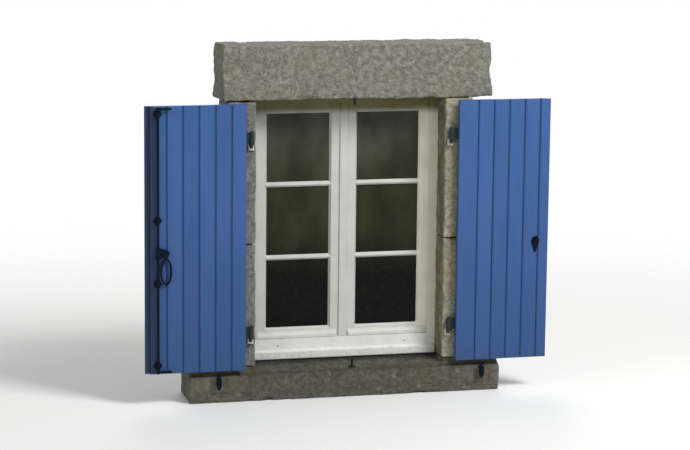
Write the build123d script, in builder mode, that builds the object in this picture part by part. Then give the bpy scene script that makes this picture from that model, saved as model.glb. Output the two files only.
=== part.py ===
from build123d import *
import math
import os

os.makedirs("parts", exist_ok=True)

# A window with a pair of boarded shutters, in the dressed stones that frame its opening.
# Millimetres. X runs to the right as seen from outside, Y into the room, Z up.
# The wall face is Y = 0. The origin is on the underside of the sill, below the middle of the opening.

# Opening
opening_width = 1000
opening_height = 1378
wall_depth = 250
reveal_depth = 150

# Stones
sill_reach_left = 857
sill_reach_right = 815
sill_front_height = 142
sill_fall = 36
sill_overhang = 30
lintel_reach_left = 700
lintel_reach_right = 766
lintel_height = 287
jamb_wide = 200
jamb_narrow = 150
jamb_lower_height = 640
stone_rebate = 25
worn_arris = 5

# Shutter leaves
leaf_thickness = 27
leaf_foot_rise = 6
leaf_head_gap = 7
leaf_meeting_gap = 4
leaf_side_gap = 4
board_pitch = 84
board_count = 6
left_hinge_board = 74
right_hinge_board = 102
board_gap = 0.4
board_vee = 3.5
tongue_length = 8
tongue_thickness = 7
tongue_play = 0.4
lip_width = 27
lip_thickness = 12
lip_play = 2
lip_face_play = 1
tie_rod_radius = 4
tie_rod_play = 0.1
tie_rod_inset = 32
tie_rod_margin = 150

# Straps and pintles
pintle_inset = 30
pintle_stand_off = 20
pintle_radius = 7
running_play = 0.06
seat_play = 0.3
eye_radius = 13
eye_blade_gap = 2
strap_thickness = 6
strap_root_height = 60
strap_tip_height = 34
strap_reach = 455
strap_screw_radius = 4
strap_screw_head_radius = 9
strap_screw_head = 4
strap_screw_head_slope = 40
strap_screw_depth = 22
lower_pintle_rise = 156
upper_pintle_drop = 214
pintle_tip = 7
pintle_collar_radius = 12
pintle_collar_height = 6
pintle_tail = 14
pintle_tail_depth = 80
mortar_width = 32
mortar_height = 38
mortar_depth = 60
mortar_stand = 6
mortar_slope = 25
mortar_round = 6
mortar_drop = 4

# Shutter bolt on the left leaf
bolt_inset = 36
bolt_stand_off = 14
bolt_radius = 7
bolt_end_gap = 3
guide_heights = (43, 470, 794)
top_guide_drop = 40
guide_plate = 3
guide_plate_width = 48
guide_plate_height = 66
guide_collar_height = 22
guide_wall = 5
guide_plate_round = 5
hook_reach = 55
hook_height = 10
hook_bar = 8
hook_round = 2
hook_offset = 2
hook_claw = 10
hook_end_gap = 4
shoulder_radius = 11
shoulder_height = 7
clevis_height = 628
clevis_arm = 42
clevis_tall = 58
clevis_boss_radius = 12
clevis_end_radius = 16
clevis_ear = 5
clevis_play = 0.4
handle_pin_radius = 4
handle_blade = 6
handle_eye_radius = 12
handle_width = 62
handle_loop_length = 140
handle_neck = 26
handle_neck_width = 12
handle_bar_radius = 5.5
handle_bar_round = 4.5

# Catch on the right leaf, and keepers in the stone
catch_inset = 70
catch_plate = 4
catch_width = 46
catch_tall = 93
catch_shoulder = 20
catch_round = 4
catch_post_radius = 5
catch_post_play = 1.5
catch_lug_play = 1
catch_lug = 5
catch_lug_rise = 12
keeper_radius = 5
keeper_play = 0.5
keeper_bed = 30
keeper_past_hook = 3

# Shutter dogs
dog_place = 705
dog_pivot_drop = 14
dog_thickness = 6
dog_leaf_gap = 4
dog_head_reach = 57
dog_head_width = 26
dog_widest = 0.6
dog_weight_radius = 13
dog_weight_reach = 23
dog_neck = 12
spike_radius = 5
spike_shoulder_radius = 8.5
spike_head_radius = 8
spike_head = 4
spike_head_slope = 30
spike_depth = 60

# Window frame
frame_play = 3
frame_thickness = 63
frame_side_show = 42
frame_head_show = 30
frame_sill_height = 105
frame_lip = 23
nose_reach = 24
nose_height = 48
nose_top_fall = 9
nose_radius = 7
drain_radius = 4
drain_places = (-352, 338)
drain_height = 67
drain_depth = 30

# Sashes
sash_overlap = 17
sash_play = 3
sash_thickness = 40
glass_inner = 74.5
hinge_stile_show = 50
glass_bottom = 161
top_rail_height = 73
bar_width = 27
meeting_gap = 3
pane_rows = 3
glass_thickness = 4
glass_seat = 14
glazing_groove = 8
glazing_play = 2
putty_slope = 10
room_bevel = 7
cover_width = 40
cover_thickness = 7.5
cover_play = 0.5
cover_round = 3
lap_inner = 24
lap_outer = 18
lap_thickness = 12
weather_rise = 38
weather_reach = 16
weather_lip = 12
weather_hollow = 0.6
weather_end_gap = 12
weather_clearance = 2

# Sash hinges
knuckle_radius = 8
knuckle_height = 36
knuckle_play = 0.5
hinge_pin_radius = 4.5
hinge_plate = 3
hinge_plate_width = 34
lower_hinge_rise = 200
upper_hinge_drop = 188

# Cremone bolt on the left sash
cremone_rod_radius = 6
cremone_rod_stand = 9
cremone_case_width = 34
cremone_case_height = 120
cremone_case_depth = 22
cremone_case_centre = 560
cremone_case_round = 7
cremone_case_edge = 3
cremone_travel = 15
cremone_rod_hold = 9
knob_spindle_radius = 7
knob_spindle = 20
knob_length = 64
knob_width = 26
knob_depth = 16
knob_stand = 6
knob_round = 5
rod_guide_width = 26
rod_guide_height = 14
rod_guide_steps = (0.25, 0.75)
keep_height = 20
keep_width = 34
keep_gap = 2
keep_set = 5
keep_play = 2
keep_wall = 5

# Places worked out from the sizes above
half_opening = opening_width / 2
bed = sill_front_height + sill_fall
soffit = bed + opening_height
leaf_bottom = bed - leaf_foot_rise
leaf_top = soffit - leaf_head_gap
leaf_tall = leaf_top - leaf_bottom
leaf_width = half_opening - leaf_side_gap - leaf_meeting_gap / 2
pintle_seats = (bed + lower_pintle_rise, soffit - upper_pintle_drop)
guide_places = [leaf_bottom + height for height in guide_heights] + [leaf_top - top_guide_drop]
pintle_x = half_opening + pintle_inset
pintle_y = -pintle_stand_off
leaf_back = pintle_y - strap_thickness / 2
leaf_front = leaf_back - leaf_thickness
leaf_middle = (leaf_back + leaf_front) / 2
free_edge = 2 * pintle_x - leaf_meeting_gap / 2
hinge_edge = free_edge - leaf_width
bolt_x = bolt_inset - free_edge
bolt_y = leaf_front - bolt_stand_off
bolt_bottom = leaf_bottom + bolt_end_gap
bolt_top = leaf_top - bolt_end_gap
hook_y = bolt_y + hook_offset
keeper_x = -2 * pintle_x - bolt_x + hook_reach
keeper_y = 2 * pintle_y - bolt_y + hook_offset - hook_bar / 2 - keeper_play - keeper_radius
weathering = sill_fall / (reveal_depth + sill_overhang)
keeper_foot = bed - weathering * (reveal_depth - keeper_y)
dog_pivot = sill_front_height - dog_pivot_drop
dog_back = leaf_front - dog_leaf_gap
frame_sight = half_opening - frame_side_show
frame_back = reveal_depth + frame_thickness
sash_front = reveal_depth + frame_lip
sash_back = sash_front + sash_thickness
frame_outer = half_opening + stone_rebate - frame_play
frame_top = soffit + stone_rebate - frame_play
head_sight = soffit - frame_head_show
sill_sight = bed + frame_sill_height
sash_edge = frame_sight + sash_overlap
sash_bottom = sill_sight - sash_overlap
sash_top = head_sight + sash_overlap
sash_middle = (sash_bottom + sash_top) / 2
sash_tall = sash_top - sash_bottom
groove_side = sash_edge + sash_play
groove_foot = sash_bottom - sash_play
groove_head = sash_top + sash_play
glass_low = bed + glass_bottom
glass_high = sash_top - top_rail_height
glass_outer = frame_sight - hinge_stile_show
pane_height = (glass_high - glass_low - (pane_rows - 1) * bar_width) / pane_rows
pane_width = glass_outer - glass_inner
pane_middle = (glass_outer + glass_inner) / 2
pane_pitch = pane_height + bar_width
pane_centres = [glass_low + pane_height / 2 + i * pane_pitch for i in range(pane_rows)]
bar_centres = [glass_low + (i + 1) * pane_pitch - bar_width / 2 for i in range(pane_rows - 1)]
glass_y = sash_front + glass_seat
putty_angle = math.degrees(math.atan(putty_slope / glass_seat))
pane_bite = glazing_groove - glazing_play
hinge_x = sash_edge + sash_play / 2
hinge_y = sash_back + knuckle_radius + knuckle_play
hinge_plate_middle = hinge_plate_width / 2 + hinge_plate
sash_hinge_feet = (bed + lower_hinge_rise, soffit - upper_hinge_drop)
lap_middle = (lap_outer - lap_inner) / 2
lap_face = sash_back + lap_thickness
rod_y = lap_face + cremone_rod_stand
case_z = bed + cremone_case_centre
cremone_socket = cremone_travel + cremone_rod_hold
keep_feet = (groove_foot - keep_set - keep_height, groove_head + keep_set)
keep_hole = 2 * (cremone_rod_radius + keep_play)
keep_front = rod_y + keep_hole / 2 + keep_wall
cremone_rods = (
    ("upper", case_z + cremone_case_height / 2 - cremone_socket, keep_feet[1] - keep_gap),
    ("lower", keep_feet[0] + keep_height + keep_gap, case_z - cremone_case_height / 2 + cremone_socket),
)
sides = ((-1, "left"), (1, "right"))
hinge_boards = {"left": left_hinge_board, "right": right_hinge_board}
board_edges = {
    name: [0] + [first + i * board_pitch for i in range(board_count - 1)] + [leaf_width]
    for name, first in hinge_boards.items()
}
tie_rod_places = (leaf_bottom + tie_rod_margin, leaf_top - tie_rod_margin)
tie_rod_start = hinge_edge + tie_rod_inset
tie_rod_length = leaf_width - 2 * tie_rod_inset
lip_rebate = lip_width - leaf_meeting_gap + lip_play
lip_rebate_depth = lip_thickness + lip_face_play
strap_end = hinge_edge + strap_reach
screw_places = {
    name: [
        (side * (hinge_edge + (a + b) / 2), seat + strap_root_height / 2)
        for a, b in zip(board_edges[name], board_edges[name][1:])
        if (a + b) / 2 < strap_reach - strap_screw_head_radius
        for seat in pintle_seats
    ]
    for side, name in sides
}
clevis_z = leaf_bottom + clevis_height
clevis_slot = handle_blade + 2 * clevis_play
handle_pin_x = bolt_x + clevis_arm
hook_tip = bolt_x + hook_reach + keeper_radius + keeper_play + hook_bar
hook_feet = (bolt_bottom + hook_end_gap, bolt_top - hook_end_gap - hook_height)
catch_x = free_edge - catch_inset
catch_lug_y = -bolt_y + handle_bar_radius + catch_lug_play
loop_middle = clevis_arm + handle_neck + handle_loop_length / 2
loop_step = (2 * pintle_x - catch_x - keeper_x + hook_reach - loop_middle) / (
    handle_loop_length / 2 - 2 * handle_bar_radius
)
loop_inner_edge = (handle_width / 2 - 2 * handle_bar_radius) * math.sqrt(1 - loop_step**2)
catch_post_z = clevis_z + loop_inner_edge - catch_post_play - catch_post_radius
catch_top = catch_post_z + catch_post_radius + catch_plate
dog_places = [(side * dog_place, dog_pivot) for side, side_name in sides]

# Sill stone, with a sloping top between two level stools
with BuildPart() as sill:
    with BuildSketch(Plane.YZ.offset(-sill_reach_left)):
        with BuildLine():
            Polyline(
                (-sill_overhang, 0),
                (wall_depth, 0),
                (wall_depth, bed),
                (reveal_depth, bed),
                (-sill_overhang, sill_front_height),
                close=True,
            )
        make_face()
    extrude(amount=sill_reach_left + sill_reach_right)
    with BuildSketch(Plane.XY.offset(bed)):
        with Locations((-(sill_reach_left + half_opening) / 2, reveal_depth / 2)):
            Rectangle(sill_reach_left - half_opening, reveal_depth)
        with Locations(((sill_reach_right + half_opening) / 2, reveal_depth / 2)):
            Rectangle(sill_reach_right - half_opening, reveal_depth)
    extrude(amount=-sill_fall)
    front_arris = sill.edges().filter_by(Axis.X).group_by(Axis.Y)[0].sort_by(Axis.Z)[-1]
    fillet(front_arris, worn_arris)
    with BuildSketch(Plane.XZ.offset(sill_overhang)):
        with Locations((-dog_place, dog_pivot), (dog_place, dog_pivot)):
            Circle(spike_radius)
    extrude(amount=-spike_depth, mode=Mode.SUBTRACT)
    with BuildSketch(Plane.XY.offset(bed)):
        with Locations((keeper_x, keeper_y)):
            Circle(keeper_radius)
    extrude(amount=keeper_foot - keeper_bed - bed, mode=Mode.SUBTRACT)
sill.part.label = "sill_stone"
export_step(sill.part, "parts/sill_stone.step")

# Lintel stone, rebated behind for the window frame
with BuildPart() as lintel:
    with BuildSketch(Plane.XY.offset(soffit)):
        with Locations(((lintel_reach_right - lintel_reach_left) / 2, wall_depth / 2)):
            Rectangle(lintel_reach_right + lintel_reach_left, wall_depth)
    extrude(amount=lintel_height)
    front_arrises = lintel.edges().filter_by(Axis.X).group_by(Axis.Y)[0]
    fillet(front_arrises, worn_arris)
    with BuildSketch(Plane.XY.offset(soffit)):
        with Locations((0, (reveal_depth + wall_depth) / 2)):
            Rectangle(2 * (half_opening + stone_rebate), wall_depth - reveal_depth)
    extrude(amount=stone_rebate, mode=Mode.SUBTRACT)
    with BuildSketch(Plane.XY.offset(soffit)):
        with Locations((keeper_x, keeper_y)):
            Circle(keeper_radius)
    extrude(amount=keeper_bed, mode=Mode.SUBTRACT)
lintel.part.label = "lintel_stone"
export_step(lintel.part, "parts/lintel_stone.step")

# Jamb stones, two on each side, with square mortises for the pintle tails
jamb_courses = (
    ("lower", bed, jamb_lower_height, jamb_wide, pintle_seats[0]),
    ("upper", bed + jamb_lower_height, opening_height - jamb_lower_height, jamb_narrow, pintle_seats[1]),
)
for side, side_name in sides:
    for course, foot, tall, width, seat in jamb_courses:
        tail_height = seat - pintle_collar_height - pintle_tail / 2
        with BuildPart() as jamb:
            with BuildSketch(Plane.XY.offset(foot)):
                with Locations((side * (half_opening + width / 2), wall_depth / 2)):
                    Rectangle(width, wall_depth)
            extrude(amount=tall)
            arris = jamb.edges().filter_by(Axis.Z).group_by(Axis.Y)[0].sort_by(Axis.X)[::-side][0]
            fillet(arris, worn_arris)
            with BuildSketch(Plane.XY.offset(foot)):
                with Locations((side * (half_opening + stone_rebate / 2), (reveal_depth + wall_depth) / 2)):
                    Rectangle(stone_rebate, wall_depth - reveal_depth)
            extrude(amount=tall, mode=Mode.SUBTRACT)
            with BuildSketch(Plane.XZ):
                with Locations((side * pintle_x, tail_height - mortar_drop)):
                    Rectangle(mortar_width, mortar_height)
            extrude(amount=-mortar_depth, mode=Mode.SUBTRACT)
            with BuildSketch(Plane.XZ):
                with Locations((side * pintle_x, tail_height)):
                    Rectangle(pintle_tail, pintle_tail)
            extrude(amount=-pintle_tail_depth, mode=Mode.SUBTRACT)
        jamb.part.label = f"jamb_stone_{side_name}_{course}"
        export_step(jamb.part, f"parts/{jamb.part.label}.step")

# Mortar round the four pintle tails, standing a little proud of the stone
pintle_places = [(side * pintle_x, seat) for side, side_name in sides for seat in pintle_seats]
with BuildPart() as mortar:
    for x, seat in pintle_places:
        tail_height = seat - pintle_collar_height - pintle_tail / 2
        with BuildSketch(Plane.XZ.offset(-mortar_depth)):
            with Locations((x, tail_height - mortar_drop)):
                Rectangle(mortar_width, mortar_height)
        extrude(amount=mortar_depth)
        with BuildSketch(Plane.XZ):
            with Locations((x, tail_height - mortar_drop)):
                RectangleRounded(mortar_width, mortar_height, mortar_round)
        extrude(amount=mortar_stand, taper=mortar_slope)
        with BuildSketch(Plane.XZ.offset(mortar_stand)):
            with Locations((x, tail_height)):
                Rectangle(pintle_tail, pintle_tail)
        extrude(amount=-mortar_stand - mortar_depth, mode=Mode.SUBTRACT)
mortar.part.label = "pintle_mortar"
export_step(mortar.part, "parts/pintle_mortar.step")

# Pintles: an upright pin with a collar, forged in one with the square tail in the stone
with BuildPart() as pintles:
    for x, seat in pintle_places:
        tail_foot = seat - pintle_collar_height - pintle_tail
        with BuildSketch(Plane.XY.offset(tail_foot)):
            with Locations((x, (pintle_y + pintle_tail_depth) / 2)):
                Rectangle(pintle_tail, pintle_tail_depth - pintle_y)
            with Locations((x, pintle_y)):
                Circle(pintle_tail / 2)
        extrude(amount=pintle_tail)
        with BuildSketch(Plane.XY.offset(seat - pintle_collar_height)):
            with Locations((x, pintle_y)):
                Circle(pintle_collar_radius)
        extrude(amount=pintle_collar_height)
        with BuildSketch(Plane.XY.offset(seat)):
            with Locations((x, pintle_y)):
                Circle(pintle_radius)
        extrude(amount=strap_root_height + pintle_tip)
    pin_area = math.pi * pintle_radius**2
    pin_tops = pintles.faces().filter_by(Axis.Z).filter_by(lambda face: abs(face.area - pin_area) < 1)
    chamfer(pin_tops.edges(), pintle_radius / 3)
pintles.part.label = "pintles"
export_step(pintles.part, "parts/pintles.step")

# Boards of both leaves, tongued and grooved, with a vee at each joint on the room face
for side, side_name in sides:
    edges = board_edges[side_name]
    for number in range(board_count):
        start = hinge_edge + edges[number]
        end = hinge_edge + edges[number + 1]
        first_board = number == 0
        last_board = number == board_count - 1
        face_end = end if last_board else end - board_gap
        with BuildPart() as board:
            with BuildSketch(Plane.XY.offset(leaf_bottom)):
                with Locations((side * (start + face_end) / 2, leaf_middle)):
                    Rectangle(face_end - start, leaf_thickness)
                if not first_board:
                    with Locations((side * (start + tongue_length / 2), leaf_middle)):
                        Rectangle(
                            tongue_length + 2 * tongue_play,
                            tongue_thickness + tongue_play,
                            mode=Mode.SUBTRACT,
                        )
                    with Locations((side * start, leaf_front)):
                        Rectangle(2 * board_vee, 2 * board_vee, rotation=45, mode=Mode.SUBTRACT)
                if not last_board:
                    with Locations((side * (face_end + tongue_length / 2), leaf_middle)):
                        Rectangle(tongue_length, tongue_thickness)
                    with Locations((side * face_end, leaf_front)):
                        Rectangle(2 * board_vee, 2 * board_vee, rotation=45, mode=Mode.SUBTRACT)
                if last_board and side_name == "left":
                    with Locations((side * (end + lip_width / 2), leaf_back - lip_thickness / 2)):
                        Rectangle(lip_width, lip_thickness)
                if last_board and side_name == "right":
                    with Locations((side * (end - lip_rebate / 2), leaf_back - lip_rebate_depth / 2)):
                        Rectangle(lip_rebate, lip_rebate_depth, mode=Mode.SUBTRACT)
            extrude(amount=leaf_tall)
            with BuildSketch(Plane.YZ.offset(side * tie_rod_start)):
                with Locations(*[(leaf_middle, height) for height in tie_rod_places]):
                    Circle(tie_rod_radius + tie_rod_play)
            extrude(amount=side * tie_rod_length, mode=Mode.SUBTRACT)
            with BuildSketch(Plane.XZ.offset(-leaf_back)):
                with Locations(*screw_places[side_name]):
                    Circle(strap_screw_radius)
            extrude(amount=strap_screw_depth, mode=Mode.SUBTRACT)
        board.part.label = f"{side_name}_board_{number + 1}"
        export_step(board.part, f"parts/{board.part.label}.step")

# Tie rods, hidden in a bore through all the boards of a leaf
for side, side_name in sides:
    with BuildPart() as tie_rods:
        with BuildSketch(Plane.YZ.offset(side * tie_rod_start)):
            with Locations(*[(leaf_middle, height) for height in tie_rod_places]):
                Circle(tie_rod_radius)
        extrude(amount=side * tie_rod_length)
    tie_rods.part.label = f"{side_name}_tie_rods"
    export_step(tie_rods.part, f"parts/{tie_rods.part.label}.step")

# Straps: a rolled eye on the pintle and a tapering blade along the outer face of the leaf
for side, side_name in sides:
    taper_start = side * (hinge_edge + eye_radius)
    round_centre = side * (strap_end - strap_tip_height / 2)
    with BuildPart() as straps:
        for seat in pintle_seats:
            strap_axis = seat + strap_root_height / 2
            strap_foot = seat + seat_play
            with BuildSketch(Plane.XY.offset(strap_foot)):
                with Locations((side * pintle_x, pintle_y)):
                    Circle(eye_radius)
                    Circle(pintle_radius + running_play, mode=Mode.SUBTRACT)
            extrude(amount=strap_root_height - seat_play)
            with BuildSketch(Plane.XZ.offset(-leaf_back)):
                with BuildLine():
                    Polyline(
                        (side * (pintle_x + pintle_radius + eye_blade_gap), strap_foot),
                        (side * (pintle_x + pintle_radius + eye_blade_gap), seat + strap_root_height),
                        (taper_start, seat + strap_root_height),
                        (round_centre, strap_axis + strap_tip_height / 2),
                        (round_centre, strap_axis - strap_tip_height / 2),
                        (taper_start, strap_foot),
                        close=True,
                    )
                make_face()
                with Locations((round_centre, strap_axis)):
                    Circle(strap_tip_height / 2)
            extrude(amount=-strap_thickness)
        with BuildSketch(Plane.XZ.offset(-leaf_back)):
            with Locations(*screw_places[side_name]):
                Circle(strap_screw_radius)
        extrude(amount=-strap_thickness, mode=Mode.SUBTRACT)
    straps.part.label = f"{side_name}_straps"
    export_step(straps.part, f"parts/{straps.part.label}.step")

# Strap screws: domed heads on the blade, shanks in the boards
for side, side_name in sides:
    with BuildPart() as screws:
        with BuildSketch(Plane.XZ.offset(-leaf_back - strap_thickness)):
            with Locations(*screw_places[side_name]):
                Circle(strap_screw_radius)
        extrude(amount=strap_screw_depth + strap_thickness)
        with BuildSketch(Plane.XZ.offset(-leaf_back - strap_thickness)):
            with Locations(*screw_places[side_name]):
                Circle(strap_screw_head_radius)
        extrude(amount=-strap_screw_head, taper=strap_screw_head_slope)
    screws.part.label = f"{side_name}_strap_screws"
    export_step(screws.part, f"parts/{screws.part.label}.step")

# Shutter bolt: a round rod with a hook at each end, a shoulder and the clevis for the handle
with BuildPart() as bolt:
    with BuildSketch(Plane.XY.offset(bolt_bottom)):
        with Locations((bolt_x, bolt_y)):
            Circle(bolt_radius)
    extrude(amount=bolt_top - bolt_bottom)
    for foot in hook_feet:
        with BuildSketch(Plane.XY.offset(foot)) as hook:
            with BuildLine():
                Polyline(
                    (bolt_x, hook_y + hook_bar / 2),
                    (hook_tip, hook_y + hook_bar / 2),
                    (hook_tip, hook_y - hook_bar / 2 - hook_claw),
                    (hook_tip - hook_bar, hook_y - hook_bar / 2 - hook_claw),
                    (hook_tip - hook_bar, hook_y - hook_bar / 2),
                    (bolt_x, hook_y - hook_bar / 2),
                    close=True,
                )
            make_face()
            fillet(hook.vertices().group_by(Axis.X)[-1], hook_round)
        extrude(amount=hook_height)
    with BuildSketch(Plane.XY.offset(guide_places[1] + guide_collar_height / 2 + seat_play)):
        with Locations((bolt_x, bolt_y)):
            Circle(shoulder_radius)
    extrude(amount=shoulder_height)
    with BuildSketch(Plane.XY.offset(clevis_z - clevis_tall / 2)):
        with Locations((bolt_x, bolt_y)):
            Circle(clevis_boss_radius)
    extrude(amount=clevis_tall)
    with BuildSketch(Plane.XZ.offset(-bolt_y)):
        with BuildLine():
            Polyline(
                (handle_pin_x, clevis_z + clevis_end_radius),
                (bolt_x, clevis_z + clevis_tall / 2),
                (bolt_x, clevis_z - clevis_tall / 2),
                (handle_pin_x, clevis_z - clevis_end_radius),
            )
            ThreePointArc(
                (handle_pin_x, clevis_z - clevis_end_radius),
                (handle_pin_x + clevis_end_radius, clevis_z),
                (handle_pin_x, clevis_z + clevis_end_radius),
            )
        make_face()
    extrude(amount=clevis_slot / 2 + clevis_ear, both=True)
    with BuildSketch(Plane.XZ.offset(-bolt_y)):
        with Locations((handle_pin_x, clevis_z)):
            Rectangle(2 * clevis_end_radius, clevis_tall)
    extrude(amount=clevis_slot / 2, both=True, mode=Mode.SUBTRACT)
    with BuildSketch(Plane.XZ.offset(-bolt_y)):
        with Locations((handle_pin_x, clevis_z)):
            Circle(handle_pin_radius)
    extrude(amount=clevis_slot / 2 + clevis_ear, both=True)
bolt.part.label = "bolt_rod"
export_step(bolt.part, "parts/bolt_rod.step")

# Guides: a lozenge plate on the boards with a collar that the rod turns in
with BuildPart() as guides:
    for centre in guide_places:
        with BuildSketch(Plane.XZ.offset(-leaf_front)) as lozenge:
            with BuildLine():
                Polyline(
                    (bolt_x - guide_plate_width / 2, centre),
                    (bolt_x, centre + guide_plate_height / 2),
                    (bolt_x + guide_plate_width / 2, centre),
                    (bolt_x, centre - guide_plate_height / 2),
                    close=True,
                )
            make_face()
            fillet(lozenge.vertices(), guide_plate_round)
        extrude(amount=guide_plate)
        with BuildSketch(Plane.XY.offset(centre - guide_collar_height / 2)):
            with Locations((bolt_x, bolt_y)):
                Circle(bolt_radius + guide_wall)
            with Locations((bolt_x, (bolt_y + leaf_front) / 2)):
                Rectangle(2 * (bolt_radius + guide_wall), bolt_stand_off)
            with Locations((bolt_x, bolt_y)):
                Circle(bolt_radius + running_play, mode=Mode.SUBTRACT)
        extrude(amount=guide_collar_height)
guides.part.label = "bolt_guides"
export_step(guides.part, "parts/bolt_guides.step")

# Handle: an open loop of bar below a neck and an eye, hanging from the clevis
with BuildPart() as handle:
    with BuildSketch(Plane.XZ.offset(-bolt_y)):
        with Locations((handle_pin_x, clevis_z - handle_neck - handle_loop_length / 2)):
            Ellipse(handle_width / 2, handle_loop_length / 2)
            Ellipse(
                handle_width / 2 - 2 * handle_bar_radius,
                handle_loop_length / 2 - 2 * handle_bar_radius,
                mode=Mode.SUBTRACT,
            )
    extrude(amount=handle_bar_radius, both=True)
    rims = handle.faces().filter_by(Axis.Y).edges()
    fillet(rims, handle_bar_round)
    with BuildSketch(Plane.XZ.offset(-bolt_y)):
        with Locations((handle_pin_x, clevis_z)):
            Circle(handle_eye_radius)
        with Locations((handle_pin_x, clevis_z - (handle_neck + handle_bar_radius) / 2)):
            Rectangle(handle_neck_width, handle_neck + handle_bar_radius)
        with Locations((handle_pin_x, clevis_z)):
            Circle(handle_pin_radius + running_play, mode=Mode.SUBTRACT)
    extrude(amount=handle_blade / 2, both=True)
handle.part.label = "bolt_handle"
export_step(handle.part, "parts/bolt_handle.step")

# Catch on the right leaf: the handle loop drops over its post, and the lug keeps it there
with BuildPart() as catch:
    with BuildSketch(Plane.XZ.offset(-leaf_front)) as plate:
        with BuildLine():
            Polyline(
                (catch_x - catch_width / 4, catch_top),
                (catch_x + catch_width / 4, catch_top),
                (catch_x + catch_width / 2, catch_top - catch_shoulder),
                (catch_x, catch_top - catch_tall),
                (catch_x - catch_width / 2, catch_top - catch_shoulder),
                close=True,
            )
        make_face()
        fillet(plate.vertices(), catch_round)
    extrude(amount=catch_plate)
    with BuildSketch(Plane.XZ.offset(-leaf_front + catch_plate)):
        with Locations((catch_x, catch_post_z)):
            Circle(catch_post_radius)
    extrude(amount=catch_lug_y + leaf_front - catch_plate)
    with BuildSketch(Plane.XZ.offset(catch_lug_y)):
        with Locations((catch_x, catch_post_z)):
            Circle(catch_post_radius)
        with Locations((catch_x, catch_post_z + catch_lug_rise / 2)):
            Rectangle(2 * catch_post_radius, catch_lug_rise)
        with Locations((catch_x, catch_post_z + catch_lug_rise)):
            Circle(catch_post_radius)
    extrude(amount=catch_lug)
catch.part.label = "shutter_catch"
export_step(catch.part, "parts/shutter_catch.step")

# Keepers: one pin up from the sill and one down from the lintel, for the hooks of the bolt
with BuildPart() as keepers:
    with BuildSketch(Plane.XY.offset(keeper_foot - keeper_bed)):
        with Locations((keeper_x, keeper_y)):
            Circle(keeper_radius)
    extrude(amount=hook_feet[0] + hook_height + keeper_past_hook - keeper_foot + keeper_bed)
    with BuildSketch(Plane.XY.offset(hook_feet[1] - keeper_past_hook)):
        with Locations((keeper_x, keeper_y)):
            Circle(keeper_radius)
    extrude(amount=soffit + keeper_bed - hook_feet[1] + keeper_past_hook)
keepers.part.label = "bolt_keepers"
export_step(keepers.part, "parts/bolt_keepers.step")

# Shutter dogs: a leaf-shaped head on one side of the pivot and a round weight on the other
for side, side_name in sides:
    with BuildPart() as dog:
        with BuildSketch(Plane.XZ.offset(-dog_back)):
            with BuildLine():
                Spline(
                    (side * dog_place - dog_neck / 2, dog_pivot),
                    (side * dog_place - dog_head_width / 2, dog_pivot - dog_widest * dog_head_reach),
                    (side * dog_place, dog_pivot - dog_head_reach),
                    (side * dog_place + dog_head_width / 2, dog_pivot - dog_widest * dog_head_reach),
                    (side * dog_place + dog_neck / 2, dog_pivot),
                )
                Line(
                    (side * dog_place + dog_neck / 2, dog_pivot),
                    (side * dog_place - dog_neck / 2, dog_pivot),
                )
            make_face()
            with Locations((side * dog_place, dog_pivot)):
                Circle(dog_weight_radius)
            with Locations((side * dog_place, dog_pivot + dog_weight_reach / 2)):
                Rectangle(dog_neck, dog_weight_reach)
            with Locations((side * dog_place, dog_pivot + dog_weight_reach)):
                Circle(dog_weight_radius)
            with Locations((side * dog_place, dog_pivot)):
                Circle(spike_radius + running_play, mode=Mode.SUBTRACT)
        extrude(amount=dog_thickness)
    dog.part.label = f"{side_name}_dog"
    export_step(dog.part, f"parts/{dog.part.label}.step")

# Spikes that carry the dogs: a shoulder behind the dog and a riveted head in front
with BuildPart() as spikes:
    with BuildSketch(Plane.XZ.offset(sill_overhang - spike_depth)):
        with Locations(*dog_places):
            Circle(spike_radius)
    extrude(amount=spike_depth)
    with BuildSketch(Plane.XZ.offset(sill_overhang)):
        with Locations(*dog_places):
            Circle(spike_shoulder_radius)
    extrude(amount=-dog_back - sill_overhang - seat_play)
    with BuildSketch(Plane.XZ.offset(-dog_back - seat_play)):
        with Locations(*dog_places):
            Circle(spike_radius)
    extrude(amount=dog_thickness + 2 * seat_play)
    with BuildSketch(Plane.XZ.offset(-dog_back + dog_thickness + seat_play)):
        with Locations(*dog_places):
            Circle(spike_head_radius)
    extrude(amount=spike_head, taper=spike_head_slope)
spikes.part.label = "dog_spikes"
export_step(spikes.part, "parts/dog_spikes.step")

# Window frame stiles, rebated for the sashes
for side, side_name in sides:
    with BuildPart() as stile:
        with BuildSketch(Plane.XZ.offset(-reveal_depth)):
            with Locations((side * (frame_sight + frame_outer) / 2, (sill_sight + head_sight) / 2)):
                Rectangle(frame_outer - frame_sight, head_sight - sill_sight)
        extrude(amount=-frame_lip)
        with BuildSketch(Plane.XZ.offset(-sash_front)):
            with Locations((side * (groove_side + frame_outer) / 2, (groove_foot + groove_head) / 2)):
                Rectangle(frame_outer - groove_side, groove_head - groove_foot)
        extrude(amount=-sash_thickness)
    stile.part.label = f"frame_{side_name}_stile"
    export_step(stile.part, f"parts/{stile.part.label}.step")

# Window frame head
with BuildPart() as head:
    with BuildSketch(Plane.YZ.offset(-frame_outer)):
        with BuildLine():
            Polyline(
                (reveal_depth, head_sight),
                (sash_front, head_sight),
                (sash_front, groove_head),
                (frame_back, groove_head),
                (frame_back, frame_top),
                (reveal_depth, frame_top),
                close=True,
            )
        make_face()
    extrude(amount=2 * frame_outer)
head.part.label = "frame_head"
export_step(head.part, "parts/frame_head.step")

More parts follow.
